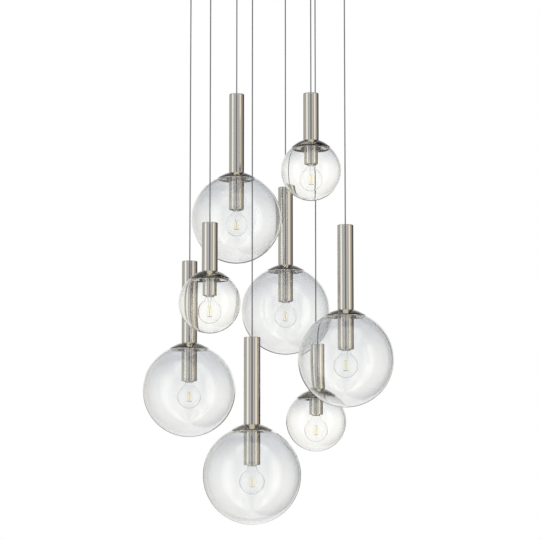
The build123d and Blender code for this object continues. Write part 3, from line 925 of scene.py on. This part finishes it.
class PENDANT_OT_canopy(Operator):
    """Makes the canopy pan, with its holes, and its two ball-headed screws"""

    bl_idname = "pendant.canopy"
    bl_label = "Canopy"

    def execute(self, context):
        sizes = settings().canopy
        radius, depth = canopy_size()
        self.pan(sizes, radius, depth)
        self.screws(sizes, depth)
        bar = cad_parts["crossbar"]  # it keeps its CAD shape
        bar.data.materials.clear()
        bar.data.materials.append(finish("zinc_bar"))
        return {"FINISHED"}

    def pan(self, sizes, radius, depth):
        wall, edge, lip = sizes.wall, sizes.edge, radius - sizes.lip
        middle = (radius - edge, -depth + edge)
        outline = [(0, -depth), (radius * 0.5, -depth), (middle[0] - RING, -depth)]
        outline += arc(middle, edge, -pi / 2, 0, 8)
        outline += [(radius, middle[1] + RING), (radius, 0), (lip, 0), (lip, -wall), (radius - wall, -wall)]
        outline += arc(middle, edge - wall, 0, -pi / 2, 6)
        outline += [(radius * 0.5, wall - depth), (0, wall - depth)]
        pan = turned(outline, 160, closed=False)
        holes = [(f.place.x, f.place.y, sizes.shank + PASSAGE) for f in forms()]
        holes += [(0, side * sizes.screw_spacing / 2, sizes.screw_radius + PASSAGE) for side in (-1, 1)]
        cut(pan, joined([cylinder(r, -depth - wall, 2 * wall - depth, x, y, 32) for x, y, r in holes]))
        remember_place(smooth(pan))
        dressed(named("canopy_pan_spun"), "canopy", "nickel_spun", "nickel", "canopy_pan")

    def screws(self, sizes, depth):
        """A ball head that a hand can turn, on a threaded shank."""
        radius, high, soft = sizes.head_radius, sizes.head_height, 0.0008
        ball = radius * 0.6
        outline = [(0, -high)] + arc((radius - ball, ball - high), ball, -pi / 2, 0, 8)
        shank = sizes.screw_radius
        root = shank - 0.0003
        outline += [(radius, -soft), (radius - soft, 0), (root, 0)]
        outline += thread(0, depth - 0.001, crest=shank, root=root, pitch=0.0008)
        outline += [(shank - 0.0006, depth), (0, depth)]
        screw = lathed(outline, 40, closed=False)
        places = [(n, Vector((0, side * sizes.screw_spacing / 2, -depth))) for n, side in ((1, -1), (2, 1))]
        placed(screw, "canopy_screw", places, "nickel_spun", "nickel_polished", "canopy_screws", "canopy")


class PENDANT_OT_collars(Operator):
    """Makes the collars that the cords leave through, their nuts and their nylon balls"""

    bl_idname = "pendant.collars"
    bl_label = "Collars"

    def execute(self, context):
        sizes = settings().canopy
        on_floor, collars = on_cords(sizes.pivot_depth + sizes.wall), ("nickel_polished", "cord_collars", "canopy")
        placed(self.collar(sizes), "collar", on_cords(), "nickel_spun", *collars)
        nut = hex_nut(sizes.nut_width, sizes.nut_height, sizes.shank + THREAD_FIT)
        placed(nut, "collar_nut", on_floor, "brass", *collars)
        ball = self.ball(sizes)
        placed(ball, "ball_bushing", on_cords(), "nylon_natural", "nylon", "grip_bushing_{}", "bushing_{}")
        return {"FINISHED"}

    def collar(self, sizes):
        """Heights are measured from the ball's centre."""
        top, over, bottom = sizes.above_pivot, sizes.pivot_depth, -sizes.below_pivot
        under = over - sizes.flange_height
        start = -asin(sqrt(sizes.seat**2 - sizes.mouth**2) / sizes.seat)
        outline = [
            (sizes.seat, top), (sizes.shank, top), (sizes.shank, over), (sizes.flange, over),
            (sizes.flange, under), (sizes.barrel, under), (sizes.barrel, bottom), (sizes.mouth, bottom),
        ]
        outline += arc((0, 0), sizes.seat, start, 0, 8)
        return lathed(outline, 64, edge=0.0004)

    def ball(self, sizes):
        bore, half = sizes.ball_bore, sizes.ball_half
        reach = asin(half / sizes.ball)
        outline = [(bore, -half), *arc((0, 0), sizes.ball, -reach, reach, 12), (bore, half)]
        return lathed(outline, 40)


# ---- Pendants ----


class PENDANT_OT_stems(Operator):
    """Makes the nickel stem tubes and the plugs that close their tops"""

    bl_idname = "pendant.stems"
    bl_label = "Stems"

    def execute(self, context):
        for form, places in kinds():
            self.stem(settings().pendant, form, places)
        return {"FINISHED"}

    def stem(self, sizes, form, places):
        outer, top, bore = form.stem_radius, form.stem_top, sizes.plug_bore
        inner, shoulder = outer - sizes.stem_wall, top - sizes.plug_flange
        tube = lathed([
            (inner, 0), (outer, 0), (outer, RING), (outer, shoulder - RING), (outer, shoulder), (inner, shoulder),
        ], 96, edge=0.0002)
        placed(tube, "stem_tube", places, "nickel_drawn", "nickel", "stem_{}")
        spigot, chamfer = inner - 0.0001, sizes.plug_chamfer
        bottom = shoulder - sizes.plug_spigot
        plug = lathed([
            (bore, bottom), (spigot, bottom), (spigot, shoulder), (outer, shoulder), (outer, top - chamfer),
            (outer - chamfer, top), (bore, top),
        ], 96, edge=0.00015)
        placed(plug, "stem_plug", places, "nickel_spun", "nickel", "stem_{}")


class PENDANT_OT_caps(Operator):
    """Makes the domed caps and the glass retainers under them"""

    bl_idname = "pendant.caps"
    bl_label = "Caps"

    def execute(self, context):
        for name, make in (("cap_dome", self.cap), ("glass_retainer", self.retainer)):
            for form, places in kinds():
                piece = make(settings().pendant, form)
                placed(piece, name, places, "nickel_spun", "nickel_polished", "cap_{}")
        return {"FINISHED"}

    def cap(self, sizes, form):
        """Part of a sphere, with a flat crown for the stem."""
        centre, outside, wall, hole = form.cap_centre, form.cap_sphere, sizes.cap_wall, sizes.pipe_hole
        inside, rim = outside - wall, form.rim - centre
        outline = arc((0, centre), outside, asin(rim / outside), asin(-centre / outside), 24)
        outline += [(hole, 0), (hole, -wall)]
        outline += arc((0, centre), inside, asin((-wall - centre) / inside), asin(rim / inside), 24)
        return lathed(outline, 128, edge=0.0002)

    def retainer(self, sizes, form):
        """A plate with three spring clips riveted under it."""
        low, high = form.retainer, form.retainer + sizes.plate_height
        hole, rim = sizes.pipe_hole, sizes.plate
        plate = turned([
            (hole, low), (hole + RING, low), (rim - RING, low), (rim, low), (rim, high), (rim - RING, high),
            (hole + RING, high), (hole, high),
        ], 96)
        pieces = [bevelled(plate, 0.0002)]
        for angle in round_about(pi / 2, 3):
            pieces += [self.clip(sizes, low, angle), self.rivet(sizes, low, angle)]
        return smooth(joined(pieces))

    def clip(self, sizes, low, angle):
        """A spring strip with rounded corners, from the plate to beneath the glass's edge."""
        root, width, thick = sizes.clip_root, sizes.clip_width, sizes.clip_height
        deselect()
        bpy.ops.mesh.primitive_cube_add(size=1)
        clip = bpy.context.object
        clip.scale = (sizes.clip_reach - root, width, thick)
        bpy.ops.object.transform_apply(location=False, rotation=False, scale=True)
        bpy.ops.object.mode_set(mode="EDIT")
        bpy.ops.mesh.select_all(action="DESELECT")
        bpy.ops.object.mode_set(mode="OBJECT")
        for edge in clip.data.edges:
            a, b = (clip.data.vertices[i].co for i in edge.vertices)
            edge.select = abs(a.z - b.z) > thick / 2
        bpy.ops.object.mode_set(mode="EDIT")
        bpy.ops.mesh.select_mode(type="EDGE")
        bpy.ops.mesh.bevel(offset=width * 0.3, segments=5, affect="EDGES")
        bpy.ops.object.mode_set(mode="OBJECT")
        middle = Matrix.Translation(((root + sizes.clip_reach) / 2, 0, low - thick / 2))
        clip.data.transform(Matrix.Rotation(angle, 4, "Z") @ middle)
        return bevelled(clip, 0.00015)

    def rivet(self, sizes, low, angle):
        radius, high, top = sizes.rivet, sizes.rivet_height, low - sizes.clip_height
        ball = (radius**2 + high**2) / (2 * high)
        cap = arc((0, 0), ball, asin((ball - high) / ball), pi / 2, 5)
        outline = [(0, top)] + [(r, top - (z - (ball - high))) for r, z in cap]
        place = Vector((cos(angle), sin(angle), 0)) * (sizes.clip_root + sizes.rivet_inset)
        return moved(turned(end_on_axis(outline), 20, closed=False), place)


class PENDANT_OT_globes(Operator):
    """Makes the clear glass globes"""

    bl_idname = "pendant.globes"
    bl_label = "Globes"

    def execute(self, context):
        for form, places in kinds():
            globe, glass = self.globe(settings().pendant, form), f"{form.kind}_globe_glass"
            placed(globe, "glass_globe_blown", places, glass, "clear_glass", "glass_globe_{}")
        return {"FINISHED"}

    def globe(self, sizes, form):
        outside, hole, centre = form.globe_radius, sizes.glass_hole, (0, form.globe)
        inside = outside - sizes.glass_wall
        outline = arc(centre, outside, -pi / 2, pi / 2 - asin(hole / outside), 72)
        outline += arc(centre, inside, pi / 2 - asin(hole / inside), -pi / 2, 72)
        return lathed(end_on_axis(outline), 128, edge=0.0009, segments=3, closed=False)


class PENDANT_OT_sockets(Operator):
    """Makes the socket cups, the porcelain lampholders and the threaded lamp pipes with their nuts"""

    bl_idname = "pendant.sockets"
    bl_label = "Sockets"

    def execute(self, context):
        for make in (self.cup, self.holder, self.pipe):
            for form, places in kinds():
                for name, coat, piece in make(settings().pendant, form):
                    placed(piece, name, places, coat, "nickel_polished", "socket_cup_{}")
        return {"FINISHED"}

    def cup(self, sizes, form):
        outer, wall, edge = form.cup_radius, sizes.cup_wall, sizes.cup_edge
        inner, top, bottom = outer - wall, form.retainer, form.cup_bottom
        middle, hole, mouth = (outer - edge, bottom + edge), sizes.pipe_hole, sizes.cup_mouth
        outline = [(hole, top), (outer - RING, top), (outer, top), (outer, top - RING)]
        outline += [(outer, middle[1] + RING)] + arc(middle, edge, 0, -pi / 2, 8)
        outline += [(middle[0] - RING, bottom), (mouth + RING, bottom), (mouth, bottom), (mouth, bottom + wall)]
        outline += arc(middle, edge - wall, -pi / 2, 0, 6)
        outline += [(inner, top - wall), (hole, top - wall)]
        yield "cup_shell", "nickel_drawn", lathed(outline, 96, edge=0.00025, sharp=50)

    def holder(self, sizes, form):
        """The bulb's base fills it from below and the lamp pipe from above."""
        bulb, gap, outer = settings().bulb, sizes.holder_gap, sizes.holder
        socket, top = bulb.base + gap, form.bulb_bottom + bulb.glass_length + bulb.base_length + gap
        low, high, pipe, pipe_end = form.holder_bottom, form.holder_top, sizes.pipe, form.pipe_bottom
        outline = [
            (0, top), (socket, top), (socket, low), (outer, low), (outer, high), (pipe, high),
            (pipe, pipe_end), (0, pipe_end),
        ]
        yield "lampholder", "porcelain", lathed(outline, 64, edge=0.0006, closed=False)

    def pipe(self, sizes, form):
        bore, outer, low, high = sizes.pipe_bore, sizes.pipe, form.pipe_bottom, sizes.pipe_above
        root, nut = outer - 0.0004, sizes.nut_height
        outline = [(bore, low), (root, low), *thread(low, high, crest=outer - 0.0002, root=root, pitch=0.0014)]
        outline += [(root, high), (bore, high)]
        yield "lamp_pipe", "brass", lathed(outline, 32)
        bottoms = (
            0, -sizes.cap_wall - nut, form.retainer + sizes.plate_height, form.retainer - sizes.cup_wall - nut
        )
        nuts = [moved(hex_nut(sizes.nut_width, nut, outer + THREAD_FIT), (0, 0, z)) for z in bottoms]
        yield "pipe_nuts", "brass", joined(nuts)


class PENDANT_OT_bulbs(Operator):
    """Makes the clear bulbs, with their screw bases, glass stems, wires and light-emitting rods"""

    bl_idname = "pendant.bulbs"
    bl_label = "Bulbs"

    def execute(self, context):
        sizes, every = settings().bulb, forms()
        first = every[0].bulb_bottom
        neck = first + sizes.glass_length
        places = [(f.number, f.place + Vector((0, 0, f.bulb_bottom - first))) for f in every]
        for name, coat, piece in (
            ("bulb_envelope", "bulb_envelope_glass", self.glass(sizes, every[0], neck)),
            ("bulb_base", "nickel_spun", self.base(sizes, neck)),
            ("bulb_glass_stem", "bulb_envelope_glass", self.glass_stem(sizes, neck)),
            ("bulb_wires", "zinc_plate", self.wires(sizes, neck)),
            ("bulb_rods", "phosphor", self.rods(sizes, neck)),
        ):
            placed(piece, name, places, coat, "bulb_glass", "bulb_{}")
        return {"FINISHED"}

    def glass(self, sizes, form, neck):
        """A sphere that runs into its neck through a hollow curve."""
        radius, throat, wall = form.bulb_radius, sizes.neck, sizes.wall
        centre = form.bulb_bottom + radius
        rise = neck - centre
        hollow = (throat**2 + rise**2 - radius**2) / (2 * (radius - throat))
        lean = atan2(rise, throat + hollow)  # of the line between the two centres
        far = (throat + hollow, neck)
        outline = arc((0, centre), radius, -pi / 2, lean, 48)
        outline += arc(far, hollow, pi + lean, pi, 10)[1:]
        outline += arc(far, hollow + wall, pi, pi + lean, 10)
        outline += arc((0, centre), radius - wall, lean, -pi / 2, 48)[1:]
        return lathed(end_on_axis(outline), 96, smooth_below=60, closed=False)

    def base(self, sizes, neck):
        """A plain collar on the glass, a rolled thread and a contact on a dark end."""
        radius, soft, steps = sizes.neck, 0.0006, 36
        start, top = neck + sizes.collar, neck + sizes.base_length
        rise = top - sizes.tip_height - start
        outline = [(0, neck + soft), (radius - soft, neck + soft), (radius, neck + 2 * soft)]
        outline += [(radius, start - soft), (radius - soft, start)]
        for step in range(steps + 1):
            height = rise * step / steps
            wave = (1 - cos(tau * height / sizes.thread_pitch)) / 2
            outline.append((sizes.base - sizes.thread_depth * wave, start + height))
        outline += [(sizes.tip, top - 0.001), (sizes.tip - 0.001, top), (0, top)]
        return lathed(outline, 64, smooth_below=40, closed=False)

    def glass_stem(self, sizes, neck):
        """The flared glass stem with its pressed disc."""
        flare, stem, disc, foot = sizes.flare, sizes.stem, sizes.disc, neck - sizes.stem_length
        outline = [(0, neck)]
        for share in (step / 12 for step in range(11)):
            outline.append((flare - (flare - stem) * sin(pi / 2 * share), neck - sizes.stem_length * share))
        low = foot - sizes.disc_height
        outline += [(stem, foot), (disc, foot), (disc, low), (0, low)]
        return lathed(outline, 40, edge=0.0003, sharp=40, smooth_below=40, closed=False)

    def wires(self, sizes, neck):
        """The centre wire and the cross that holds the rods' feet."""
        head, wire = neck - sizes.stem_length - sizes.disc_height, sizes.wire
        foot = head - sizes.rod_drop - 2 * sizes.rod_gap
        pieces = [cylinder(wire, foot - 2 * wire, head, steps=12)]
        for angle in round_about(pi / 4, sizes.rods):
            arm = cylinder(wire, 0, sizes.rod_foot, steps=12)
            turn = Matrix.Rotation(angle, 4, "Z") @ Matrix.Rotation(pi / 2, 4, "Y")
            arm.data.transform(Matrix.Translation((0, 0, foot - wire)) @ turn)
            pieces.append(arm)
        return smooth(joined(pieces))

    def rods(self, sizes, neck):
        """Straight rods that lean outwards towards their feet, with rounded ends."""
        head = neck - sizes.stem_length - sizes.disc_height - sizes.rod_gap
        out, drop, radius, soft = sizes.rod_foot - sizes.rod_top, sizes.rod_drop, sizes.rod, sizes.rod * 0.5
        cut_back = radius * out / drop
        span = sqrt(out**2 + drop**2) - 2 * cut_back
        outline = [(0, 0)] + arc((radius - soft, soft), soft, -pi / 2, 0, 4)
        outline += arc((radius - soft, span - soft), soft, 0, pi / 2, 4) + [(0, span)]
        leaning = Matrix.Rotation(pi - atan2(out, drop), 4, "Y")
        hung = Matrix.Translation((sizes.rod_top, 0, head - cut_back)) @ leaning
        pieces = []
        for angle in round_about(pi / 4, sizes.rods):
            rod = turned(outline, 20, closed=False)
            rod.data.transform(Matrix.Rotation(angle, 4, "Z") @ hung)
            pieces.append(rod)
        return smooth(joined(pieces))


# ---- Sidebar ----

STEPS = (
    PENDANT_OT_stage, PENDANT_OT_cords, PENDANT_OT_ferrules, PENDANT_OT_canopy, PENDANT_OT_collars,
    PENDANT_OT_stems, PENDANT_OT_caps, PENDANT_OT_globes, PENDANT_OT_sockets, PENDANT_OT_bulbs,
)


class PENDANT_PT_sidebar(Panel):
    """Lists the steps and the settings"""

    bl_idname = "PENDANT_PT_sidebar"
    bl_label = "Cluster Pendant"
    bl_space_type = "VIEW_3D"
    bl_region_type = "UI"
    bl_category = "Cluster Pendant"

    def draw(self, context):
        for step in STEPS:
            self.layout.operator(step.bl_idname)
        for name in ClusterPendant.__annotations__:
            group = getattr(settings(), name)
            box = self.layout.box()
            for label in group.__annotations__:
                box.prop(group, label)


GROUPS = (CanopySizes, CordSizes, PendantSizes, BulbSizes, Finishes, StudioSettings, ClusterPendant)
CLASSES = (*GROUPS, *STEPS, PENDANT_PT_sidebar)


def register():
    for cls in CLASSES:
        bpy.utils.register_class(cls)
    bpy.types.Scene.cluster_pendant = PointerProperty(type=ClusterPendant)


def unregister():
    del bpy.types.Scene.cluster_pendant
    for cls in reversed(CLASSES):
        bpy.utils.unregister_class(cls)


def main():
    register()
    for step in STEPS:
        group, name = step.bl_idname.split(".")
        getattr(getattr(bpy.ops, group), name)()
    deselect()


if __name__ == "__main__":
    main()
